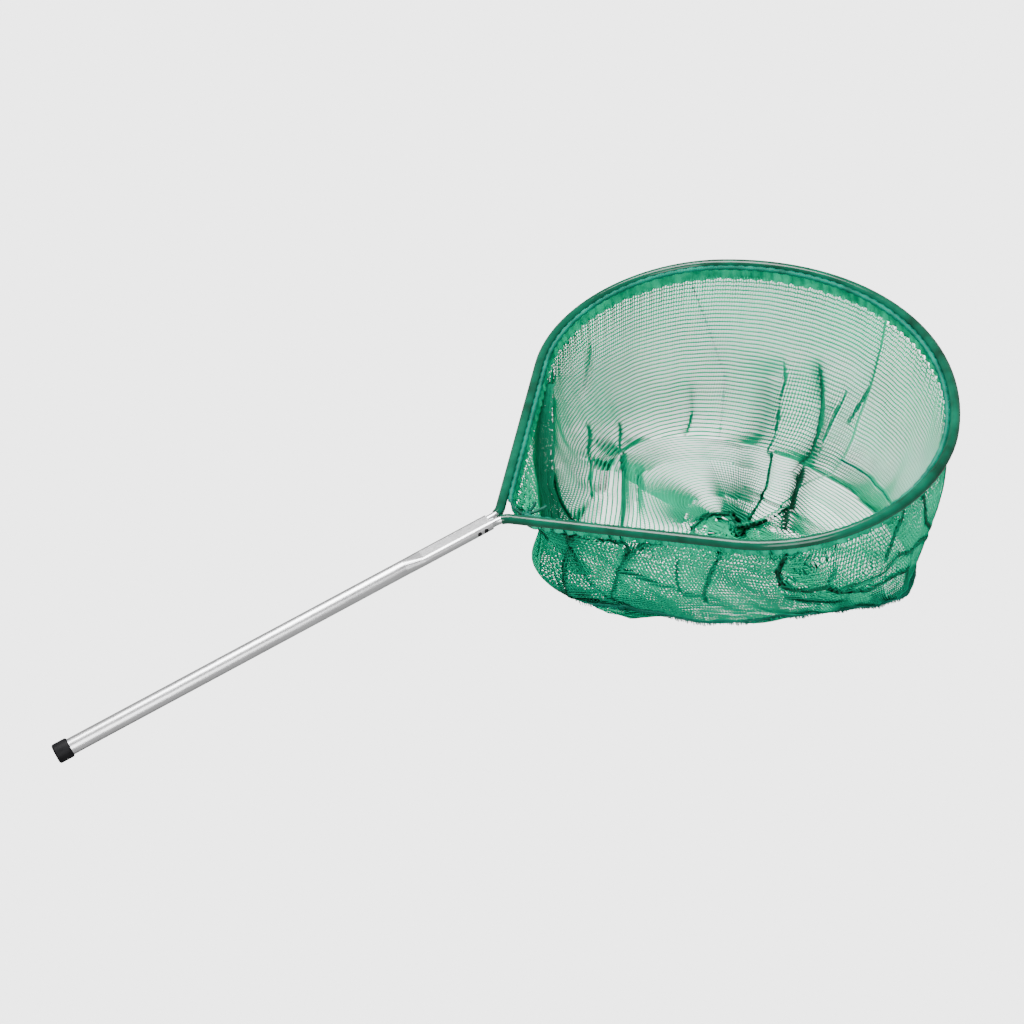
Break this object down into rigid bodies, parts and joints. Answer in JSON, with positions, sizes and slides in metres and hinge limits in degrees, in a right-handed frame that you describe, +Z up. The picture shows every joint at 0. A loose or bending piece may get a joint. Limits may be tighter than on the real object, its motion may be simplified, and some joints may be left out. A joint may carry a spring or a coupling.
{
  "type": "leaf skimmer net",
  "caption": "Hand-held leaf skimmer for pools and spas: a net bag hung in a teardrop hoop on a straight tubular handle with an end cap.",
  "frame": {"origin": "centre of the bounding box's bottom face, on the surface that the net stands on", "axes": "+Z up, +X along the handle from its cap towards the hoop's front, +Y to the side, as the net stands on its cap and its bag"},
  "size_m": [0.9395, 0.5056, 0.2412],
  "materials": {
    "handle_metal": "satin drawn tube",
    "cap_plastic": "moulded, fine matt",
    "rivet_black": "black",
    "rod_metal": "drawn rod",
    "hose_plastic": "soft gloss",
    "net_fabric": "fine polyethylene netting",
    "cord_fabric": "laid cord",
    "seam_fabric": "stitched, frayed netting"
  },
  "bodies": {
    "net": {"handle_tube": "handle_metal", "end_cap": "cap_plastic", "leg_rivets": "rivet_black", "hoop_rod": "rod_metal", "hoop_hose": "hose_plastic", "hem_band": "net_fabric", "hem_cord": "cord_fabric", "hem_knot": "cord_fabric", "net_near": "net_fabric", "net_far": "net_fabric", "net_floor": "net_fabric", "foot_seam": "seam_fabric", "wall_seam": "seam_fabric"}
  },
  "joints": []
}
